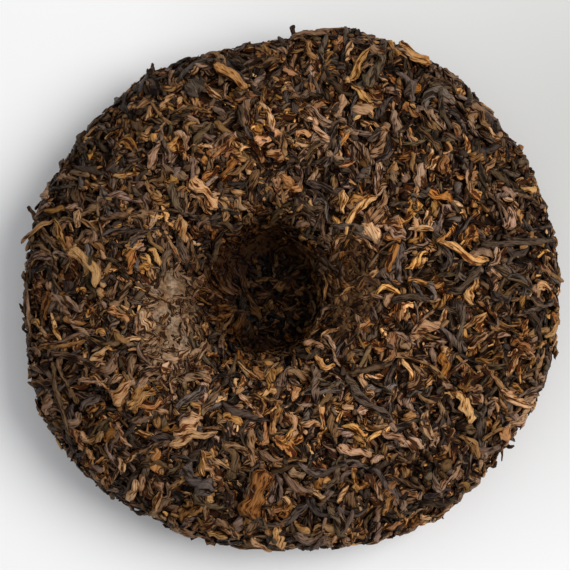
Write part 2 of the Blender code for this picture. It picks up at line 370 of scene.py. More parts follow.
# Leaves that stand out in the photo: kind, width, place in its kind's range of tints, and
# the line that it follows, as places seen from above in millimetres.
NOTED_LEAVES = (
    ("golden_buds", 0.0014, 0.3, ((-53.2, 7.4), (-51.2, 9.3), (-48.6, 11.4), (-46.4, 11.9))),
    ("golden_buds", 0.0014, 0.4, ((-46.6, 12.3), (-46.0, 9.6), (-45.0, 7.1), (-42.4, 4.4))),
    ("golden_buds", 0.0021, 0.3, ((-43.6, 5.8), (-41.6, 3.8), (-39.2, 2.4), (-37.4, 0.8), (-38.3, -2.0))),
    ("brown_strips", 0.0020, 1.0, ((-51.4, 21.2), (-49.5, 18.0), (-48.0, 15.9))),
    ("golden_buds", 0.0015, 0.4, ((-52.6, -0.8), (-52.2, -5.0), (-51.0, -11.5))),
    ("brown_strips", 0.0014, 0.6, ((-49.5, -13.2), (-44.5, -13.5), (-39.6, -12.2))),
    ("dark_strips", 0.0017, 0.2, ((-46.8, -14.2), (-42.0, -16.2), (-37.8, -17.8))),
    ("dark_strips", 0.0017, 0.4, ((-46.8, -15.7), (-45.6, -23.0), (-42.6, -30.6))),
    ("brown_strips", 0.0018, 0.5, ((-47.5, -3.0), (-44.0, -4.4), (-40.7, -6.6))),
    ("russet_leaves", 0.0013, 0.7, ((-45.0, -7.7), (-41.8, -8.9), (-38.5, -9.1))),
    ("russet_leaves", 0.0021, 0.8, ((-36.0, -6.2), (-33.4, -7.2), (-30.9, -9.2))),
    ("golden_buds", 0.0017, 0.7, ((-22.4, -15.5), (-21.0, -14.8), (-19.6, -14.1))),
    ("golden_buds", 0.0021, 1.0, ((-25.4, -17.2), (-24.4, -18.0), (-23.6, -18.4))),
    ("golden_buds", 0.0024, 0.2, ((-34.7, -24.4), (-33.0, -22.4), (-30.7, -19.8))),
    ("golden_buds", 0.0025, 0.3, ((-32.2, -24.6), (-29.8, -24.4), (-27.1, -22.8))),
    ("golden_buds", 0.0025, 0.1, ((-23.2, -31.0), (-20.0, -28.4), (-17.0, -27.2))),
    ("golden_buds", 0.0018, 0.0, ((-24.0, -33.0), (-19.0, -31.0), (-14.0, -30.2))),
    ("golden_buds", 0.0021, 0.5, ((15.9, 46.9), (13.4, 43.0), (11.5, 38.9))),
    ("black_strips", 0.0023, 0.9, ((17.3, 45.6), (16.6, 42.0), (14.5, 37.6))),
    ("golden_buds", 0.0016, 0.3, ((11.5, 38.6), (13.9, 36.6), (15.7, 34.4))),
    ("golden_buds", 0.0018, 0.6, ((21.2, 48.2), (24.0, 45.4), (27.8, 43.6))),
    ("black_strips", 0.0016, 0.3, ((36.5, 5.8), (41.0, 6.9), (46.0, 7.6), (52.0, 8.4))),
    ("golden_buds", 0.0017, 0.5, ((28.2, 6.9), (33.0, 5.2), (35.8, 3.0), (38.9, 3.4))),
    ("golden_buds", 0.0019, 0.5, ((31.7, -22.0), (33.8, -25.0), (34.7, -28.6))),
    ("golden_buds", 0.0019, 0.6, ((40.5, -21.2), (42.4, -24.0), (46.8, -24.6))),
    ("black_strips", 0.0018, 0.3, ((10.9, -21.0), (14.0, -25.0), (19.0, -27.6))),
    ("golden_buds", 0.0018, 0.4, ((9.3, -28.8), (12.0, -29.6), (14.5, -31.3))),
    ("russet_leaves", 0.0037, 0.3, ((-5.0, -37.6), (-6.8, -42.0), (-7.8, -47.0))),
    ("black_strips", 0.0027, 0.8, ((-21.4, -36.6), (-18.2, -39.6), (-15.0, -41.8))),
    ("golden_buds", 0.0024, 0.9, ((-29.9, -6.6), (-29.0, -8.4), (-27.3, -10.4))),
    ("black_strips", 0.0011, 0.9, ((4.2, 14.4), (5.4, 15.9), (6.9, 14.9), (6.8, 12.6), (8.2, 10.6))),
    ("golden_buds", 0.0018, 0.1, ((6.4, 1.9), (6.8, -1.0), (6.2, -4.4))),
    ("golden_buds", 0.0022, 0.1, ((-15.9, 42.8), (-12.0, 40.4), (-8.3, 37.8))),
    ("russet_leaves", 0.0024, 0.3, ((-16.5, 23.6), (-13.6, 25.4), (-11.1, 28.4))),
    ("golden_buds", 0.0024, 0.4, ((-19.4, 20.2), (-17.4, 16.8), (-14.7, 13.9))),
    ("golden_buds", 0.0022, 0.2, ((-22.4, 12.5), (-21.6, 9.8), (-20.4, 7.3))),
    ("brown_strips", 0.0016, 0.9, ((-23.4, 28.6), (-21.2, 28.2), (-20.6, 25.0))),
    ("black_strips", 0.0030, 0.9, ((-18.4, 40.2), (-19.2, 38.2), (-19.6, 36.0))),
    ("golden_buds", 0.0019, 0.5, ((9.9, 17.5), (10.2, 15.0), (10.1, 12.5))),
    ("golden_buds", 0.0015, 0.3, ((17.1, 15.9), (14.1, 15.5), (11.7, 12.7), (10.3, 8.3))),
    ("golden_buds", 0.0024, 0.5, ((13.3, 10.5), (15.4, 9.2), (17.3, 7.0))),
    ("golden_buds", 0.0014, 0.4, ((-28.4, 5.6), (-26.9, 4.2), (-25.4, 2.6))),
    ("golden_buds", 0.0019, 0.6, ((-0.6, -1.0), (0.4, -1.8), (1.2, -2.4))),
    ("golden_buds", 0.0017, 0.6, ((-6.0, -3.8), (-5.2, -4.6), (-4.4, -5.2))),
    ("golden_buds", 0.0019, 0.2, ((-3.4, 0.8), (-2.4, 0.2), (-1.6, 1.2))),
)
NOTED_CAP = 0.0024

# Stray ends that stand off the rim in the photo: kind, width, place in its kind's range of
# tints, and the places of its foot and its tip in millimetres.
STRAYS = (
    ("black_strips", 0.0014, 0.2, (0.8, 48.6, 12.5), (0.2, 52.3, 13.5)),
    ("dark_strips", 0.0013, 0.4, (-50.6, 12.4, 10.5), (-52.9, 15.7, 11.0)),
    ("black_strips", 0.0010, 0.4, (-51.6, -9.0, 9.5), (-53.7, -4.8, 10.0)),
    ("black_strips", 0.0012, 0.3, (27.6, -42.6, 10.5), (30.0, -46.6, 9.5)),
    ("brown_strips", 0.0017, 0.3, (46.0, 17.6, 12.5), (48.4, 22.8, 12.0)),
    ("dark_strips", 0.0013, 0.3, (-26.6, 41.8, 12.0), (-29.4, 43.2, 12.5)),
)
STRAY_SHAPE = {"ridge": 0.05, "blunt": (1.9, 2.3)}
STRAY_PLACES = 5

# Strips pleated down the pit's left wall, like a fan: how often each kind comes, the fan's
# middle and the turns that it spans, each strip's reach from the middle and how far it
# varies, how far its way strays in degrees and bends in radians, and its width and shade.
PLEATS = 22
PLEAT_KINDS = {"brown_strips": 0.5, "golden_buds": 0.2, "dark_strips": 0.3}
PLEAT_MIDDLE = np.array([-0.0085, -0.0030])
PLEAT_TURNS = (100.0, 268.0)
PLEAT_REACH = (0.0024, 0.0100)
PLEAT_REACH_SPREAD = (0.75, 1.15)
PLEAT_STRAY = 9.0
PLEAT_BEND = 0.10
PLEAT_WIDTHS = (0.0008, 0.0015)
PLEAT_SHADES = (0.3, 0.8)

# The crumbs' tints, and how often each comes: the darkest is commonest, partly as painted
# shade in the gaps that the crumbs fill.
CRUMB_TINTS = (
    (0.022, 0.013, 0.008),
    (0.052, 0.028, 0.014),
    (0.100, 0.052, 0.024),
    (0.180, 0.092, 0.038),
    (0.300, 0.165, 0.065),
)
CRUMB_TINT_SHARES = (0.40, 0.26, 0.18, 0.10, 0.06)

# A leaf's surface: its girth in widths, the margin round its cell of the bake sheet, the
# width of its streaks in lengths, how fine its broad patches are, and how deep its grain.
GIRTH = 2.6
CELL_MARGIN = 0.04
STREAK_WIDTH = 0.20
PATCHES_PER_METRE = 650.0
LEAF_GRAIN_DEPTH = 0.00055

# What makes a leaf paler, and darker below each term's middle: painted highlight and wear
# where it stands proud, painted shade in its folds and down in the pile, and its own fibres
# and patches. Each term's middle value and its weight, about this start.
PAINTED_SHADE_AND_WEAR_START = 0.45
PAINTED_SHADE_AND_WEAR_TERMS = (
    ("Proud", 0.0, 1.9),
    ("Lift", 0.8, 1.4),
    ("Fibres", 0.5, 3.8),
    ("Patches", 0.5, 2.6),
)

# The crushed tea's specks, how far they vary its tint, and how deep they are.
SPECKS_PER_METRE = 1200.0
SPECK_SHADES = (0.40, 1.60)
SPECK_DEPTH = 0.0004

# The table is white, and greyer round a place just beyond the cake's right edge, as painted
# shade.
TABLE_HALF = 1.5
TABLE_WHITE = (0.72, 0.72, 0.73, 1.0)
TABLE_PAINTED_SHADE = (0.44, 0.44, 0.43, 1.0)
TABLE_PAINTED_SHADE_MIDDLE = (0.070, 0.036, 0.0)
TABLE_PAINTED_SHADE_REACH = 0.105

# The studio: a pale sky, a wide soft window to the right, and a camera nearly overhead.
SKY_COLOUR = (0.98, 0.99, 1.0, 1.0)
SKY_STRENGTH = 0.66
WINDOW_AZIMUTH = math.radians(6.0)
WINDOW_ELEVATION = math.radians(47.0)
WINDOW_DISTANCE = 1.6
WINDOW_SIZE = 1.25
WINDOW_POWER = 27.5
WINDOW_COLOUR = (1.0, 0.99, 0.97)
CAMERA_TILT = math.radians(8.0)
CAMERA_DISTANCE = 0.40
CAMERA_LENS = 127.0
CAMERA_TARGET = Vector((-0.0014, -0.0005, 0.012))


def fade(value, low, high):
    """1 below low, 0 above high, and smooth between them."""
    share = np.clip((value - low) / (high - low), 0.0, 1.0)
    return 1.0 - share * share * (3.0 - 2.0 * share)


def back_height(radius):
    """Height of the dimpled back above the table."""
    share = np.minimum(1.0, radius / (CAKE_DIAMETER / 2))
    rise = BACK_RISE * (1.0 - share**BACK_FULLNESS) ** (1.0 / BACK_FULLNESS)
    dish = DISH_DEPTH * np.exp(-((radius / DISH_RADIUS) ** 4))
    pit = PIT_DEPTH / (1.0 + (radius / PIT_RADIUS) ** PIT_STEEPNESS)
    return RIM_HEIGHT + rise - dish - pit


def front_height(radius):
    """Height of the domed front, pressed flat where the cake rests on it."""
    share = np.minimum(1.0, radius / (CAKE_DIAMETER / 2))
    drop = FRONT_DROP * (1.0 - share**FRONT_FULLNESS) ** (1.0 / FRONT_FULLNESS)
    return np.maximum(0.0, RIM_HEIGHT - drop)


def cake_profile():
    """Radii and heights at even steps from the pit over the rim to the base."""
    out = CAKE_DIAMETER / 2 * np.sin(np.linspace(0.0, math.pi / 2, PROFILE_SAMPLES))
    back = out[-2::-1]
    radius = np.concatenate([out, back])
    height = np.concatenate([back_height(out), front_height(back)])
    reach = np.concatenate([[0.0], np.cumsum(np.hypot(np.diff(radius), np.diff(height)))])
    even = np.linspace(0.0, reach[-1], 2 * PROFILE_SAMPLES)
    return np.interp(even, reach, radius), np.interp(even, reach, height)


def noise_at(points, length, shift=(0.0, 0.0, 0.0)):
    """Smooth noise whose bumps are about that long, at each point."""
    scaled = points / length + np.array(shift)
    return np.array([noise.noise(p) for p in scaled.tolist()])


def unit(vectors):
    """The vectors at a length of one."""
    return vectors / np.maximum(np.linalg.norm(vectors, axis=-1, keepdims=True), 1e-12)


def warped(points):
    """Moves points of the turned cake to their places on the uneven real one."""
    radius = np.hypot(points[:, 0], points[:, 1])
    angle = np.arctan2(points[:, 1], points[:, 0])
    on_back = points[:, 2] > (back_height(radius) + front_height(radius)) / 2
    outward = 1.0 - fade(radius, DISH_RADIUS, CAKE_DIAMETER / 2)
    lobes = sum(
        size * np.cos(count * angle - math.radians(turn)) for count, size, turn in OUTLINE_LOBES
    )
    lobes += LUMP_SHARE * fade(np.abs(angle - LUMP_ANGLE), *LUMP_REACH)
    place = points.copy()
    place[:, :2] *= (1.0 + lobes * outward)[:, None]
    held = on_back * fade(radius, DIMPLE_HELD_RADIUS, DIMPLE_FREE_RADIUS)
    place[:, :2] += DIMPLE_OFFSET * held[:, None]
    depth = np.maximum(0.0, RIM_HEIGHT + BACK_RISE - DISH_DEPTH - points[:, 2])
    in_pit = fade(radius, PIT_RADIUS, DISH_RADIUS) * on_back
    place[:, 0] += PIT_LEAN * depth * in_pit
    place[:, 1] *= 1.0 + PIT_STRETCH * in_pit
    away = place.copy()
    away[:, 2] = (points[:, 2] - RIM_HEIGHT) * (CAKE_DIAMETER / 2 / BACK_RISE) ** 2
    away = unit(away)
    away[on_back & (radius < DISH_RADIUS)] = (0.0, 0.0, 1.0)
    bumps = noise_at(place, SWELL_LENGTH) * SWELL_HEIGHT
    bumps += noise_at(place, BUMP_LENGTH, BUMP_SHIFT) * BUMP_HEIGHT
    bumps *= 1.0 - fade(points[:, 2], 0.0, NOISE_CLEAR_OF_BASE)
    return place + away * bumps[:, None]


class Skin:
    """The cake's skin, as an even cloud of points, with the pile of tea above each."""

    def __init__(self):
        self.radius, self.height = cake_profile()
        self.share = np.linspace(0.0, 1.0, len(self.radius))
        slant = np.hypot(np.diff(self.radius), np.diff(self.height))
        ring = (self.radius[1:] + self.radius[:-1]) * slant
        self.area = np.concatenate([[0.0], np.cumsum(ring)]) / ring.sum()
        self.middle = np.zeros(3)
        number = np.arange(SKIN_POINTS)
        points, self.normals = self.lie(number * GOLDEN_ANGLE, (number + 0.5) / SKIN_POINTS)
        self.middle[:2] = (points.min(axis=0) + points.max(axis=0))[:2] / 2
        self.points = points - self.middle
        self.pile = np.zeros(SKIN_POINTS)
        self.tree = KDTree(SKIN_POINTS)
        for i, point in enumerate(self.points.tolist()):
            self.tree.insert(point, i)
        self.tree.balance()
        self.facing = [Vector(n) for n in self.normals.tolist()]

    def turned(self, angle, share):
        """Points of the plain turned cake, by their turn and their share of its profile."""
        radius = np.interp(share, self.share, self.radius)
        height = np.interp(share, self.share, self.height)
        return np.stack([radius * np.cos(angle), radius * np.sin(angle), height], axis=1)

    def lie(self, angle, area_share):
        """Points of the skin by their turn and the share of its area, and their normals."""
        share = np.interp(area_share, self.area, self.share)
        here = warped(self.turned(angle, share))
        step = SLOPE_STEP
        ahead, behind = self.turned(angle + step, share), self.turned(angle - step, share)
        lower, higher = self.turned(angle, share + step), self.turned(angle, share - step)
        by_angle = warped(ahead) - warped(behind)
        by_share = warped(lower) - warped(higher)
        return here - self.middle, unit(np.cross(by_share, by_angle))

    def touch(self, point):
        """The skin's nearest place to a point, its normal and its number in the cloud."""
        near, number, _ = self.tree.find(point)
        normal = self.facing[number]
        return point - normal * (point - near).dot(normal), normal, number

    def numbers(self, points):
        """The number in the cloud of the skin's place that is nearest to each point."""
        return np.array([self.tree.find(p)[1] for p in points.tolist()])


def one_way(skin, point, heading, bends, step):
    """Walks over the skin from a point: the places passed, and their normals."""
    point, normal, _ = skin.touch(point)
    places, normals = [], []
    for bend in bends:
        heading = heading - normal * heading.dot(normal)
        heading.normalize()
        heading.rotate(Quaternion(normal, bend))
        point, normal, _ = skin.touch(point + heading * step)
        places.append(point)
        normals.append(normal)
    return places, normals


def middle_line(skin, place, heading, length, bends):
    """A leaf's line over the skin, followed both ways from its middle."""
    half = len(bends) // 2
    step = length / (2 * half)
    ahead, up_ahead = one_way(skin, place, heading, bends[half:], step)
    behind, up_behind = one_way(skin, place, -heading, [-b for b in bends[:half][::-1]], step)
    point, normal, _ = skin.touch(place)
    line = behind[::-1] + [point] + ahead
    ups = up_behind[::-1] + [normal] + up_ahead
    return np.array(line), np.array(ups)


def length_of(line):
    return np.linalg.norm(np.diff(line, axis=0), axis=1).sum()


def along(values, shares):
    """Rows of values at shares of the way along them."""
    own = np.linspace(0.0, 1.0, len(values))
    return np.stack([np.interp(shares, own, column) for column in values.T], axis=1)


def taper(shares, blunt):
    """How full a leaf is along its length, each end with its own bluntness."""
    reach = np.abs(2.0 * shares - 1.0)
    power = np.where(shares < 0.5, blunt[0], blunt[1])
    return (1.0 - reach**power) ** (1.0 / power)


def smoothed(values):
    """Each value half itself and a quarter each neighbour."""
    padded = np.concatenate([values[:1], values, values[-1:]])
    return padded[:-2] * 0.25 + padded[1:-1] * 0.5 + padded[2:] * 0.25


def rest_on_pile(skin, line, ups, width, depth, cap, tilt):
    """Heights of a leaf's middle line above the core, as it lies pressed on the pile."""
    aside = unit(np.cross(np.gradient(line, axis=0), ups)) * width
    under = np.stack([skin.pile[skin.numbers(line + aside * share)] for share in FELT_AT])
    support = under.max(axis=0) / 2 + under.mean(axis=0) / 2
    heights = smoothed(smoothed(support)) + depth * RESTING_DEPTH
    heights += tilt * np.linspace(-0.5, 0.5, len(line))
    top = cap - depth / 2
    over = np.maximum(0.0, heights - top)
    middle = len(line) // 2
    drop = np.maximum(0.0, (line[middle] - line) @ ups[middle])
    return heights - over * (1.0 - OVERSHOOT_KEPT) + np.minimum(MOST_SPRING, SPRING * drop)


def add_to_pile(skin, line, ups, heights, width, depth, blunt):
    """Raises the pile to the leaf's own top, wherever it lies."""
    shares = np.linspace(*FOOTPRINT_ENDS, max(3, int(length_of(line) / FOOTPRINT_STEP)))
    across = np.linspace(-1.0, 1.0, max(3, int(width / FOOTPRINT_STEP) + 1))
    places = along(line, shares)
    aside = unit(np.cross(np.gradient(places, axis=0), along(ups, shares)))
    full = taper(shares, blunt)
    tops = along(heights[:, None], shares)[:, 0]
    for x in across:
        spots = skin.numbers(places + aside * (x * width / 2 * full)[:, None])
        rise = depth / 2 * full * math.sqrt(max(0.0, 1.0 - x * x))
        np.maximum.at(skin.pile, spots, tops + rise)


def wandering(count, size, draw):
    """Random steps about nought, smoothed so that neighbours are alike."""
    return smoothed(draw.normal(0.0, size, count)) * SMOOTHING_MADE_UP


def leaf_rings(line, ups, heights, kind, size, blunt, mesh, draw):
    """A leaf's rings of points, and how proud and how high each point is."""
    (rings, sides), (width, depth) = mesh, size
    even = (np.arange(rings) + 0.5) / rings
    crowded = 0.5 - 0.5 * np.cos(math.pi * even)
    shares = ENDS_CROWDED * crowded + (1.0 - ENDS_CROWDED) * even
    smooth_line = along(line, np.linspace(0.0, 1.0, 2 * rings))
    forward = along(unit(np.gradient(smooth_line, axis=0)), shares)
    up = along(ups, shares)
    up = unit(up - forward * (up * forward).sum(axis=1, keepdims=True))
    aside = np.cross(forward, up)
    centre = along(line, shares)
    centre += aside * (wandering(rings, SWAY_ASIDE, draw) * width)[:, None]
    centre += up * (wandering(rings, SWAY_UP, draw) * depth)[:, None]
    full = taper(shares, blunt)
    half_width = (width / 2 * full * np.exp(wandering(rings, WIDTH_SPREAD, draw)))[:, None]
    half_depth = (depth / 2 * full * np.exp(wandering(rings, DEPTH_SPREAD, draw)))[:, None]
    turn = 2.0 * math.pi * draw.uniform(*kind["turns"]) * draw.choice([-1.0, 1.0])
    spiral = draw.uniform(0.0, 2.0 * math.pi) + turn * shares
    theta = spiral[:, None] + (np.arange(sides) * 2.0 * math.pi / sides)[None, :]
    folds = draw.normal(0.0, kind["ridge"], sides)
    for groove in draw.permutation(sides)[: sides // SIDES_PER_GROOVE]:
        folds[groove] -= draw.uniform(*GROOVE_DEPTH)
    proud = folds[None, :] + draw.normal(0.0, CORNER_SPREAD, (rings, sides))
    x = half_width * (1.0 + proud) * np.cos(theta)
    y = half_depth * (1.0 + proud) * np.sin(theta)
    cup = draw.uniform(-MOST_CUP, MOST_CUP) * half_depth
    y = y + cup * ((x / half_width) ** 2 - 0.5)
    roll = math.radians(draw.normal(0.0, ROLL_SPREAD))
    across = aside * math.cos(roll) + up * math.sin(roll)
    upward = up * math.cos(roll) - aside * math.sin(roll)
    points = centre[:, None] + across[:, None] * x[..., None] + upward[:, None] * y[..., None]
    slide = draw.normal(0.0, SIDE_SLIDE, sides) * width
    points += (forward * full[:, None])[:, None] * slide[None, :, None]
    height = along(heights[:, None], shares) + x * math.sin(roll) + y * math.cos(roll)
    # The lift sets how much painted shade a point gets down in the pile.
    lift = np.clip(height / HEIGHT_OF_PILE, kind.get("least_lift", -1.0), MOST_LIFT)
    return points, proud, lift


class Heap:
    """Gathers the leaves of one kind, and makes one mesh of them."""

    def __init__(self):
        self.leaves = {}
        self.count = 0

    def add(self, points, ends, proud, lift, tint, length, width, draw):
        """One leaf: its points and ends, how proud and high they are, its tint and its size."""
        self.leaves.setdefault(proud.shape, []).append({
            "points": np.concatenate([points.reshape(-1, 3), ends]),
            "proud": np.concatenate([proud.ravel(), [0.0, 0.0]]),
            "lift": np.concatenate([lift.ravel(), lift[[0, -1]].mean(axis=1)]),
            "tint": np.array(tint),
            "grain size": np.array([width * GIRTH, length]),
            "grain start": draw.uniform(0.0, 1.0, 2),
        })
        self.count += 1

    def mesh(self, name):
        """The leaves as one mesh: each has its own cell of the bake sheet, and its own grain."""
        points, faces, lifts, prides, tints = [], [], [], [], []
        sheets, grains = [], []
        columns = math.ceil(math.sqrt(self.count))
        first, start = 0, 0
        for (rings, sides), leaves in self.leaves.items():
            count, size = len(leaves), rings * sides + 2
            cell = np.arange(first, first + count)
            cell = np.stack([cell % columns, cell // columns], axis=1)[:, None]
            scale = np.array([leaf["grain size"] for leaf in leaves])[:, None]
            begin = np.array([leaf["grain start"] for leaf in leaves])[:, None]
            for corners, uv in leaf_faces(rings, sides):
                number = start + (np.arange(count) * size)[:, None, None] + corners
                faces += number.reshape(-1, corners.shape[1]).tolist()
                flat = uv.reshape(1, -1, 2)
                inner = CELL_MARGIN + (1.0 - 2.0 * CELL_MARGIN) * flat
                sheets.append(((cell + inner) / columns).reshape(-1, 2))
                grains.append((flat * scale + begin).reshape(-1, 2))
            points += [leaf["points"] for leaf in leaves]
            prides += [leaf["proud"] for leaf in leaves]
            lifts += [leaf["lift"] for leaf in leaves]
            tints.append(np.repeat([leaf["tint"] for leaf in leaves], size, axis=0))
            first += count
            start += count * size
        mesh = bpy.data.meshes.new(name)
        mesh.from_pydata(np.concatenate(points).tolist(), [], faces)
        for layer, parts in (("OFBake", sheets), ("grain", grains)):
            uv_map = mesh.uv_layers.new(name=layer)
            uv_map.data.foreach_set("uv", np.concatenate(parts).astype(np.float32).ravel())
        for layer, parts in (("proud", prides), ("lift", lifts)):
            values = mesh.attributes.new(layer, "FLOAT", "POINT")
            values.data.foreach_set("value", np.concatenate(parts).astype(np.float32))
        colours = np.concatenate(tints)
        colours = np.concatenate([colours, np.ones((len(colours), 1))], axis=1)
        tint = mesh.color_attributes.new("tint", "FLOAT_COLOR", "POINT")
        tint.data.foreach_set("color", colours.astype(np.float32).ravel())
        mesh.shade_smooth()
        return mesh


def leaf_faces(rings, sides):
    """A leaf's quads and end triangles: corner numbers, and places round and along it."""
    quads, quad_uv, ends, end_uv = [], [], [], []
    first, last = rings * sides, rings * sides + 1
    for j in range(sides):
        k = (j + 1) % sides
        left, middle, right = j / sides, (j + 0.5) / sides, (j + 1) / sides
        for i in range(rings - 1):
            low, high = (i + 1) / (rings + 1), (i + 2) / (rings + 1)
            here, there = i * sides, (i + 1) * sides
            quads.append((here + j, here + k, there + k, there + j))
            quad_uv.append(((left, low), (right, low), (right, high), (left, high)))
        low, high = 1 / (rings + 1), rings / (rings + 1)
        end = (rings - 1) * sides
        ends.append((first, k, j))
        end_uv.append(((middle, 0.0), (right, low), (left, low)))
        ends.append((last, end + j, end + k))
        end_uv.append(((middle, 1.0), (left, high), (right, high)))
    return (np.array(quads), np.array(quad_uv)), (np.array(ends), np.array(end_uv))


def lay_leaf(skin, kind, heap, line, ups, size, tint, cap, mesh, draw):
    """Lays one leaf along a line of the skin, on the pile, and adds it to its kind's heap."""
    width, depth = size
    blunt = draw.uniform(*kind["blunt"], 2)
    heights = rest_on_pile(skin, line, ups, width, depth, cap, draw.normal(0.0, TIP_SPREAD))
    add_to_pile(skin, line, ups, heights, width, depth, blunt)
    lifted = line + ups * (heights - SKIN_DEPTH)[:, None]
    points, proud, lift = leaf_rings(lifted, ups, heights, kind, size, blunt, mesh, draw)
    ends = lifted[[0, -1]]
    points[..., 2] = np.maximum(points[..., 2], BASE_CLEARANCE)
    ends[:, 2] = np.maximum(ends[:, 2], BASE_CLEARANCE)
    heap.add(points, ends, proud, lift, tint, length_of(line), width, draw)


def gap(skin, draw):
    """A place on the skin where the pile is low, among a few drawn at random."""
    tried = draw.integers(0, SKIN_POINTS, PLACES_TRIED)
    slack = draw.uniform(0.0, PLACE_SLACK, PLACES_TRIED)
    return int(tried[np.argmin(skin.pile[tried] + slack)])


def zone_shares(points):
    """How fully each point lies in each of the fine zones, which are all on the back."""
    shares = []
    for middle, reach, *_ in FINE_ZONES:
        off = np.hypot(*((points[:, :2] - middle) / reach).T)
        shares.append(fade(off, *ZONE_EDGE) * (points[:, 2] > RIM_HEIGHT / 2))
    return np.array(shares)


def whole_leaf_share(place):
    """The share of whole leaves that lie at a place."""
    shares = zone_shares(np.array([place]))[:, 0]
    return min(1.0 - inside * (1.0 - zone[2]) for inside, zone in zip(shares, FINE_ZONES))


def painted_shading(points):
    """How much of each colour of a tint is left at each point, as painted shade and light: less down in
    the dimple and on the rim, more on the side towards the lamp.
    """
    depth = (RIM_HEIGHT + BACK_RISE - points[:, 2]) / (DISH_DEPTH + PIT_DEPTH)
    off = np.hypot(points[:, 0] - DIMPLE_OFFSET[0], points[:, 1] - DIMPLE_OFFSET[1])
    side = np.clip((points[:, 0] - PIT_DARKEST_X) / PIT_RADIUS, *PIT_SIDE_RANGE)
    depth = np.clip(depth, 0.0, 1.0) ** PIT_PAINTED_SHADE_POWER * fade(off, *PIT_PAINTED_SHADE_REACH)
    depth = np.minimum(1.0, depth * (1.0 - PIT_SIDE_EASING_PAINTED_SHADE * side))
    depth += LIP_PAINTED_SHADE * fade(off, *LIP_PAINTED_SHADE_REACH) * (1.0 - depth) ** 2
    depth *= points[:, 2] > PIT_FLOOR / 2
    left = (1.0 - (1.0 - PIT_LEFT_UNDER_PAINTED_SHADE) * depth)[:, None] ** PIT_PAINTED_SHADE_WARMTH
    # Painted light on the side towards the lamp, then painted shade on the rim.
    left *= (1.0 + points[:, :2] @ PAINTED_LIGHT_WAY / (CAKE_DIAMETER / 2))[:, None]
    middle = fade(np.hypot(points[:, 0], points[:, 1]), *RIM_REACH)[:, None]
    return left * (RIM_LEFT_UNDER_PAINTED_SHADE + (MIDDLE_PAINTED_LIGHT - RIM_LEFT_UNDER_PAINTED_SHADE) * middle)


def dimmed(kind, tint, place, draw):
    """A leaf's tint: no two alike, coated in the fine zones, with painted shade down in the pit and on
    the rim, and painted light towards the lamp.
    """
    warmth, at = draw.uniform(*kind["warmth"]), np.array([place])
    green = GREEN_BY_WARMTH[0] - GREEN_BY_WARMTH[1] * warmth
    blue = BLUE_BY_WARMTH[0] - BLUE_BY_WARMTH[1] * warmth
    own = np.array([1.0, green * draw.uniform(*GREEN_SPREAD), blue])
    tint = np.array(tint) * (own * draw.uniform(*BRIGHTNESS))
    # The first two zones' tints are partly dust and partly painted light and shade of their slopes.
    for inside, (_, _, _, coat, dust_and_painted_light) in zip(zone_shares(at)[:, 0], FINE_ZONES):
        tint += (np.array(dust_and_painted_light) - tint) * inside * coat
    return tint * painted_shading(at)[0]


def flowing_heading(place, normal, draw):
    """The way that a leaf runs, roughly that of its neighbours."""
    flow = noise.noise_vector(place / FLOW_LENGTH)
    heading = (flow - normal * flow.dot(normal)).normalized()
    turn = math.radians(draw.normal(0.0, FLOW_SPREAD))
    heading.rotate(Quaternion(normal, turn + math.pi * draw.integers(0, 2)))
    return heading


def random_bends(kind, steps, draw):
    """How far a leaf turns at each step along it: an even curl, small wanders, rare kinks."""
    curl = math.radians(draw.normal(0.0, kind["bend"] / 2))
    kinks = draw.normal(0.0, KINK, steps) * (draw.uniform(size=steps) < KINK_SHARE)
    return curl / steps + draw.normal(0.0, WANDER, steps) + kinks


def tint_between(kind, share):
    """The tint at a share of the way through its kind's range."""
    low, high = (np.array(tint) for tint in kind["tints"])
    return low + (high - low) * share


def rubbed(least, whole):
    """What is left of a size by rubbing: the least in a fine zone, and all of it off them."""
    return least + (1.0 - least) * whole


def pack_leaves(skin, heaps):
    """Lays every leaf, layer by layer, wherever the pile is still low."""
    draw = np.random.default_rng(SEED)
    names = list(KINDS)
    shares = np.array([KINDS[name]["share"] for name in names])
    for layer in LAYERS:
        for _ in range(layer["leaves"]):
            name = names[draw.choice(len(names), p=shares / shares.sum())]
            kind = KINDS[name]
            spot = gap(skin, draw)
            place, normal = Vector(skin.points[spot]), skin.facing[spot]
            whole = whole_leaf_share(place)
            if layer is LAYERS[-1] and draw.uniform() > whole:
                continue
            cap = draw.uniform(*layer["cap"]) * rubbed(RUBBED_CAP, whole)
            if place.z < RESTING_HEIGHT:
                cap = min(cap, SKIN_DEPTH)
            low, high = kind["length"]
            length = low + (high - low) * draw.uniform() ** COMMONER_LOW
            length *= rubbed(RUBBED_LENGTH, whole)
            width = draw.uniform(*kind["width"]) * rubbed(RUBBED_WIDTH, whole)
            depth = width * draw.uniform(*kind["depth"]) * rubbed(RUBBED_DEPTH, whole)
            bends = random_bends(kind, 2 * max(3, round(length / BEND_STEP)), draw)
            heading = flowing_heading(place, normal, draw)
            line, ups = middle_line(skin, place, heading, length, bends)
            tint = tint_between(kind, draw.uniform() ** COMMONER_LOW)
            tint = dimmed(kind, tint, place, draw)
            mesh = layer["mesh"] if normal.z > UNDERSIDE else min(layer["mesh"], BELOW_MESH)
            lay_leaf(skin, kind, heaps[name], line, ups, (width, depth), tint, cap, mesh, draw)


def over_skin(skin, x, y):
    """The back's place above a point of the table."""
    place = Vector((x, y, RIM_HEIGHT + BACK_RISE))
    for _ in range(4):
        place.z = skin.touch(place)[0].z
    return skin.touch(place)[:2]


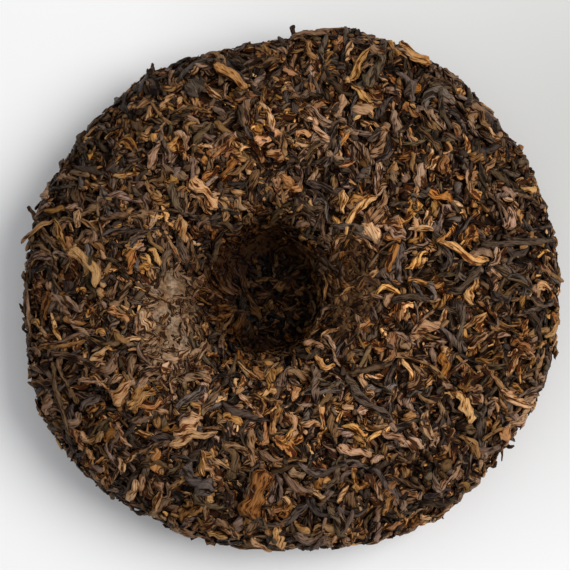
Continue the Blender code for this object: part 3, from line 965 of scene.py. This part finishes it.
def lay_noted(skin, heaps, name, width, shade, corners, draw):
    """Lays a leaf of the photo over the given places."""
    kind = KINDS[name]
    reach = np.linspace(0.0, 1.0, 2 * len(corners) + 3)
    track = smoothed(along(np.array(corners), reach))
    lying = [over_skin(skin, x, y) for x, y in track.tolist()]
    line = np.array([place for place, _ in lying])
    ups = np.array([normal for _, normal in lying])
    tint = dimmed(kind, tint_between(kind, shade), lying[len(lying) // 2][0], draw)
    size = (width, width * kind["depth"][0])
    lay_leaf(skin, kind, heaps[name], line, ups, size, tint, NOTED_CAP, NOTED_MESH, draw)


def lay_pleats(skin, heaps, draw):
    """Lays the fan of strips that is pleated down the pit's wall."""
    names, shares = list(PLEAT_KINDS), list(PLEAT_KINDS.values())
    for turn in np.linspace(*PLEAT_TURNS, PLEATS):
        name = draw.choice(names, p=shares)
        reach = np.linspace(*PLEAT_REACH, 3)[:, None] * draw.uniform(*PLEAT_REACH_SPREAD)
        way = math.radians(turn + draw.normal(0.0, PLEAT_STRAY))
        ways = way + np.arange(3) * draw.normal(0.0, PLEAT_BEND)
        corners = PLEAT_MIDDLE + reach * np.stack([np.cos(ways), np.sin(ways)], axis=1)
        width, shade = draw.uniform(*PLEAT_WIDTHS), draw.uniform(*PLEAT_SHADES)
        lay_noted(skin, heaps, name, width, shade, corners, draw)


def lay_noted_leaves(skin, heaps):
    """Lays the pit's pleats, and then each leaf that stands out in the photo."""
    draw = np.random.default_rng([SEED, 1])
    lay_pleats(skin, heaps, draw)
    for name, width, shade, corners in NOTED_LEAVES:
        lay_noted(skin, heaps, name, width, shade, np.array(corners) / 1000.0, draw)


def lay_strays(heaps):
    """Stands the stray ends off the rim, each from its foot in the cake to its tip."""
    draw = np.random.default_rng([SEED, 2])
    for name, width, shade, foot, tip in STRAYS:
        kind = {**KINDS[name], **STRAY_SHAPE}
        line = np.linspace(foot, tip, STRAY_PLACES) / 1000.0
        ups = np.tile([0.0, 0.0, 1.0], (STRAY_PLACES, 1))
        heights = np.full(STRAY_PLACES, HEIGHT_OF_PILE / 2)
        middle = Vector(line[STRAY_PLACES // 2])
        tint = dimmed(kind, tint_between(kind, shade), middle, draw)
        size, blunt = (width, width * kind["depth"][1]), draw.uniform(*kind["blunt"], 2)
        points, proud, lift = leaf_rings(line, ups, heights, kind, size, blunt, NOTED_MESH, draw)
        ends = line[[0, -1]]
        heaps[name].add(points, ends, proud, lift, tint, length_of(ends), width, draw)


def scatter_crumbs(skin, name, heap):
    """Drops broken leaf into the gaps, thickest in the fine zones."""
    draw = np.random.default_rng([SEED, len(name)])
    kind = {**ANY_CRUMB, **CRUMBS[name]}
    while heap.count < kind["count"]:
        spot = gap(skin, draw)
        place, normal = Vector(skin.points[spot]), skin.facing[spot]
        wanted = rubbed(kind["everywhere"], 1.0 - whole_leaf_share(place))
        inside = zone_shares(np.array([place]))[:, 0]
        flake = inside.max() > FLAKE_INSIDE
        if draw.uniform() > wanted * (1.0 - FLAKES_SKIPPED * flake) or place.z < RESTING_HEIGHT:
            continue
        length, width = draw.uniform(*kind["length"]), draw.uniform(*kind["width"])
        depth = width * draw.uniform(*kind["depth"])
        tint = CRUMB_TINTS[draw.choice(len(CRUMB_TINTS), p=CRUMB_TINT_SHARES)]
        cap, own = HEIGHT_OF_PILE, kind
        if flake:
            patch = 1.0 + FLAKE_PATCH * noise.noise(place / FLAKE_PATCH_LENGTH)
            # The first two zones' tints are partly dust and partly painted light and shade of their
            # slopes.
            dust_and_painted_light = np.array(FINE_ZONES[inside.argmax()][4])
            tint = dust_and_painted_light * draw.uniform(*FLAKE_BRIGHTNESS) * patch
            length, width, depth = np.array([length, width, depth]) * FLAKE_STRETCH
            cap, own = FLAKE_CAP, {**kind, **FLAKE_SHAPE}
        heading = flowing_heading(place, normal, draw) * length / 2
        line = np.array([place - heading, place, place + heading])
        ups = np.array([normal] * 3)
        tint = dimmed(kind, tint, place, draw)
        lay_leaf(skin, own, heap, line, ups, (width, depth), tint, cap, kind["mesh"], draw)


def make_core(skin):
    """The crushed leaf under the skin: an even ball of faces moved onto the cake."""
    bm = bmesh.new()
    bmesh.ops.create_icosphere(bm, subdivisions=CORE_SUBDIVISIONS, radius=1.0)
    mesh = bpy.data.meshes.new("core")
    bm.to_mesh(mesh)
    bm.free()
    ball = np.empty(len(mesh.vertices) * 3)
    mesh.vertices.foreach_get("co", ball)
    ball = ball.reshape(-1, 3)
    angle = np.arctan2(ball[:, 1], ball[:, 0])
    points, normals = skin.lie(angle, np.clip((1.0 - ball[:, 2]) / 2, 1e-6, 1.0 - 1e-6))
    relief = np.zeros(len(points))
    for length, height in zip(CRUMB_LENGTHS, CRUMB_HEIGHTS):
        relief += noise_at(points, length) * height
    shares = zone_shares(points)
    fine = shares.max(axis=0)
    below = SKIN_DEPTH + (FINE_SKIN_DEPTH - SKIN_DEPTH) * fine
    points = points + normals * (relief * (1.0 - FINE_RELIEF_LOST * fine) - below)[:, None]
    points[:, 2] = np.maximum(points[:, 2], BASE_CLEARANCE)
    tints = np.array([zone[4] for zone in FINE_ZONES])
    tint = (shares.T @ tints) / np.maximum(shares.sum(axis=0), 1e-6)[:, None]
    patch = noise_at(points, FLAKE_PATCH_LENGTH)[:, None]
    tint *= 1.0 + patch * RUBBED_PATCH
    tint = CORE_TINT + (tint - CORE_TINT) * fine[:, None]
    # Painted shade down in the dimple and on the rim, and painted light towards the lamp, as on the
    # leaves.
    tint *= painted_shading(points)
    colours = mesh.color_attributes.new("tint", "FLOAT_COLOR", "POINT")
    colours.data.foreach_set("color", np.hstack([tint, fine[:, None]]).astype(np.float32).ravel())
    mesh.vertices.foreach_set("co", points.astype(np.float32).ravel())
    mesh.update()
    mesh.shade_smooth()
    return mesh


def socket(group, name, direction, kind, value=None):
    """Gives a shader group one more input or output."""
    made = group.interface.new_socket(name=name, in_out=direction, socket_type=kind)
    if value is not None:
        made.default_value = value


def fibre_group():
    """Fine streaks that run along a leaf, and broad patches over it."""
    group = bpy.data.node_groups.new("Leaf fibres", "ShaderNodeTree")
    socket(group, "Grain", "INPUT", "NodeSocketVector")
    socket(group, "Fibres per metre", "INPUT", "NodeSocketFloat", 3000.0)
    socket(group, "Fibres", "OUTPUT", "NodeSocketFloat")
    socket(group, "Patches", "OUTPUT", "NodeSocketFloat")
    nodes, links = group.nodes, group.links
    taken = nodes.new("NodeGroupInput")
    given = nodes.new("NodeGroupOutput")
    stretched = nodes.new("ShaderNodeVectorMath")
    stretched.operation = "MULTIPLY"
    stretched.inputs[1].default_value = (1.0, STREAK_WIDTH, 1.0)
    fibres = nodes.new("ShaderNodeTexNoise")
    fibres.noise_dimensions = "2D"
    fibres.inputs["Detail"].default_value = 1.6
    fibres.inputs["Roughness"].default_value = 0.6
    fibres.inputs["Distortion"].default_value = 0.2
    patches = nodes.new("ShaderNodeTexNoise")
    patches.noise_dimensions = "2D"
    patches.inputs["Scale"].default_value = PATCHES_PER_METRE
    patches.inputs["Detail"].default_value = 2.0
    links.new(taken.outputs["Grain"], stretched.inputs[0])
    links.new(stretched.outputs[0], fibres.inputs["Vector"])
    links.new(taken.outputs["Fibres per metre"], fibres.inputs["Scale"])
    links.new(fibres.outputs["Fac"], given.inputs["Fibres"])
    links.new(taken.outputs["Grain"], patches.inputs["Vector"])
    links.new(patches.outputs["Fac"], given.inputs["Patches"])
    return group


def painted_shade_and_wear_group():
    """Paler where a leaf stands proud, as wear and painted highlight; darker in its folds and down in the
    pile, as painted shade.
    """
    group = bpy.data.node_groups.new("Leaf wear", "ShaderNodeTree")
    for name, _, _ in PAINTED_SHADE_AND_WEAR_TERMS:
        socket(group, name, "INPUT", "NodeSocketFloat")
    socket(group, "Shade", "OUTPUT", "NodeSocketFloat")
    nodes, links = group.nodes, group.links
    taken = nodes.new("NodeGroupInput")
    given = nodes.new("NodeGroupOutput")
    total = None
    for name, middle, weight in PAINTED_SHADE_AND_WEAR_TERMS:
        term = nodes.new("ShaderNodeMath")
        term.operation = "MULTIPLY_ADD"
        term.inputs[1].default_value = weight
        term.inputs[2].default_value = -middle * weight
        links.new(taken.outputs[name], term.inputs[0])
        if total is None:
            term.inputs[2].default_value += PAINTED_SHADE_AND_WEAR_START
        else:
            added = nodes.new("ShaderNodeMath")
            links.new(total.outputs[0], added.inputs[0])
            links.new(term.outputs[0], added.inputs[1])
            term = added
        total = term
    total.use_clamp = True
    links.new(total.outputs[0], given.inputs["Shade"])
    return group


def leaf_material(name, groups, kind):
    """A leaf's finish: its own tint, streaked along its length, paler on its ridges as painted highlight
    and darker in its folds and down in the pile as painted shade.
    """
    material = bpy.data.materials.new(name)
    material.use_nodes = True
    nodes, links = material.node_tree.nodes, material.node_tree.links
    shader = nodes["Principled BSDF"]
    streaks = nodes.new("ShaderNodeGroup")
    streaks.node_tree = groups["fibres"]
    streaks.inputs["Fibres per metre"].default_value = kind["fibres"]
    painted_shade_and_wear = nodes.new("ShaderNodeGroup")
    painted_shade_and_wear.node_tree = groups["painted_shade_and_wear"]
    grain = nodes.new("ShaderNodeUVMap")
    grain.uv_map = "grain"
    links.new(grain.outputs["UV"], streaks.inputs["Grain"])
    for layer, taken in (("proud", "Proud"), ("lift", "Lift")):
        attribute = nodes.new("ShaderNodeAttribute")
        attribute.attribute_name = layer
        links.new(attribute.outputs["Fac"], painted_shade_and_wear.inputs[taken])
    links.new(streaks.outputs["Fibres"], painted_shade_and_wear.inputs["Fibres"])
    links.new(streaks.outputs["Patches"], painted_shade_and_wear.inputs["Patches"])
    tint = nodes.new("ShaderNodeAttribute")
    tint.attribute_name = "tint"
    # The ramp paints the shade: dark folds and pile, a warm half shade, and pale ridges.
    shades = nodes.new("ShaderNodeValToRGB")
    shades.color_ramp.elements.new(HALF_SHADE)
    for stop, shade in zip(shades.color_ramp.elements, kind["shades"]):
        stop.color = (*(value / PALEST for value in shade), 1.0)
    links.new(painted_shade_and_wear.outputs["Shade"], shades.inputs["Fac"])
    toned = nodes.new("ShaderNodeVectorMath")
    toned.operation = "MULTIPLY"
    links.new(tint.outputs["Color"], toned.inputs[0])
    links.new(shades.outputs["Color"], toned.inputs[1])
    full = nodes.new("ShaderNodeVectorMath")
    full.operation = "SCALE"
    full.inputs["Scale"].default_value = PALEST
    links.new(toned.outputs[0], full.inputs[0])
    links.new(full.outputs[0], shader.inputs["Base Color"])
    shader.inputs["Roughness"].default_value = kind["finish"][0]
    shader.inputs["Specular IOR Level"].default_value = kind["finish"][1]
    bump = nodes.new("ShaderNodeBump")
    bump.inputs["Strength"].default_value = 1.0
    bump.inputs["Distance"].default_value = LEAF_GRAIN_DEPTH
    links.new(streaks.outputs["Fibres"], bump.inputs["Height"])
    links.new(bump.outputs["Normal"], shader.inputs["Normal"])
    return material


def core_material():
    """Crushed tea in fine crumbs, dark between the leaves, partly as painted shade, and paler where the
    knot rubbed.
    """
    material = bpy.data.materials.new("crushed tea")
    material.use_nodes = True
    nodes, links = material.node_tree.nodes, material.node_tree.links
    shader = nodes["Principled BSDF"]
    place = nodes.new("ShaderNodeTexCoord")
    specks = nodes.new("ShaderNodeTexNoise")
    specks.inputs["Scale"].default_value = SPECKS_PER_METRE
    specks.inputs["Detail"].default_value = 4.0
    specks.inputs["Roughness"].default_value = 0.65
    shade = nodes.new("ShaderNodeMapRange")
    shade.inputs["From Min"].default_value = 0.36
    shade.inputs["From Max"].default_value = 0.66
    shade.inputs["To Min"].default_value = SPECK_SHADES[0]
    shade.inputs["To Max"].default_value = SPECK_SHADES[1]
    tint = nodes.new("ShaderNodeAttribute")
    tint.attribute_name = "tint"
    mottled = nodes.new("ShaderNodeVectorMath")
    mottled.operation = "SCALE"
    links.new(place.outputs["Object"], specks.inputs["Vector"])
    links.new(specks.outputs["Fac"], shade.inputs["Value"])
    links.new(tint.outputs["Color"], mottled.inputs[0])
    links.new(shade.outputs["Result"], mottled.inputs["Scale"])
    links.new(mottled.outputs[0], shader.inputs["Base Color"])
    bump = nodes.new("ShaderNodeBump")
    bump.inputs["Strength"].default_value = 1.0
    bump.inputs["Distance"].default_value = SPECK_DEPTH
    links.new(specks.outputs["Fac"], bump.inputs["Height"])
    links.new(bump.outputs["Normal"], shader.inputs["Normal"])
    shader.inputs["Roughness"].default_value = 0.85
    shader.inputs["Specular IOR Level"].default_value = 0.1
    return material


def show(mesh, name, material):
    """Puts a piece of the cake in the scene, with its finish."""
    piece = bpy.data.objects.new(name, mesh)
    bpy.context.scene.collection.objects.link(piece)
    mesh.materials.append(material)
    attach(piece, "root")
    return piece


def make_floor():
    """The table that the cake lies on, white with a patch of painted shade."""
    mesh = bpy.data.meshes.new("table")
    ways = ((-1, -1), (1, -1), (1, 1), (-1, 1))
    corners = [(x * TABLE_HALF, y * TABLE_HALF, 0.0) for x, y in ways]
    mesh.from_pydata(corners, [], [(0, 1, 2, 3)])
    floor = bpy.data.objects.new("table", mesh)
    bpy.context.scene.collection.objects.link(floor)
    material = bpy.data.materials.new("white table")
    material.use_nodes = True
    nodes, links = material.node_tree.nodes, material.node_tree.links
    shader = nodes["Principled BSDF"]
    place = nodes.new("ShaderNodeTexCoord")
    off = nodes.new("ShaderNodeMapping")
    off.vector_type = "TEXTURE"
    off.inputs["Location"].default_value = TABLE_PAINTED_SHADE_MIDDLE
    off.inputs["Scale"].default_value = (TABLE_PAINTED_SHADE_REACH, TABLE_PAINTED_SHADE_REACH, TABLE_PAINTED_SHADE_REACH)
    # Painted shade: the table greys towards the patch's middle.
    falloff = nodes.new("ShaderNodeTexGradient")
    falloff.gradient_type = "SPHERICAL"
    white = nodes.new("ShaderNodeValToRGB")
    white.color_ramp.elements[0].color = TABLE_WHITE
    white.color_ramp.elements[1].color = TABLE_PAINTED_SHADE
    links.new(place.outputs["Object"], off.inputs["Vector"])
    links.new(off.outputs["Vector"], falloff.inputs["Vector"])
    links.new(falloff.outputs["Fac"], white.inputs["Fac"])
    links.new(white.outputs["Color"], shader.inputs["Base Color"])
    shader.inputs["Roughness"].default_value = 0.6
    mesh.materials.append(material)


def make_window(scene):
    """The one lamp, a wide soft disc that faces the cake."""
    light = bpy.data.lights.new("window", "AREA")
    light.shape = "DISK"
    light.size = WINDOW_SIZE
    light.energy = WINDOW_POWER
    light.color = WINDOW_COLOUR
    lamp = bpy.data.objects.new("window", light)
    scene.collection.objects.link(lamp)
    lamp.location = Vector((
        math.cos(WINDOW_AZIMUTH) * math.cos(WINDOW_ELEVATION),
        math.sin(WINDOW_AZIMUTH) * math.cos(WINDOW_ELEVATION),
        math.sin(WINDOW_ELEVATION),
    )) * WINDOW_DISTANCE
    lamp.rotation_euler = (-lamp.location).to_track_quat("-Z", "Y").to_euler()


def make_studio():
    """A soft window light from the right, a paler sky all round, and the camera above."""
    scene = bpy.context.scene
    scene.view_settings.view_transform = "Standard"
    world = bpy.data.worlds.new("soft daylight")
    world.use_nodes = True
    sky = world.node_tree.nodes["Background"]
    sky.inputs["Color"].default_value = SKY_COLOUR
    sky.inputs["Strength"].default_value = SKY_STRENGTH
    scene.world = world
    make_window(scene)
    camera = bpy.data.cameras.new("camera")
    camera.lens = CAMERA_LENS
    view = bpy.data.objects.new("camera", camera)
    scene.collection.objects.link(view)
    back = Vector((0.0, -math.sin(CAMERA_TILT), math.cos(CAMERA_TILT)))
    view.location = CAMERA_TARGET + back * CAMERA_DISTANCE
    view.rotation_euler = (CAMERA_TILT, 0.0, 0.0)
    scene.camera = view


def main():
    """Packs the tea, replaces the solid with it, and sets the table, light and camera."""
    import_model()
    # Blender's vector noise starts from the clock unless it is given a seed.
    noise.seed_set(SEED)
    skin = Skin()
    heaps = {name: Heap() for name in (*KINDS, *CRUMBS)}
    pack_leaves(skin, heaps)
    lay_noted_leaves(skin, heaps)
    lay_strays(heaps)
    for name in CRUMBS:
        scatter_crumbs(skin, name, heaps[name])
    core = show(make_core(skin), "crushed_core", core_material())
    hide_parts("tea_cake")
    groups = {"fibres": fibre_group(), "painted_shade_and_wear": painted_shade_and_wear_group()}
    for name, heap in heaps.items():
        material = leaf_material(name.replace("_", " "), groups, KINDS.get(name, ANY_CRUMB))
        show(heap.mesh(name), name, material)
    make_floor()
    make_studio()


main()
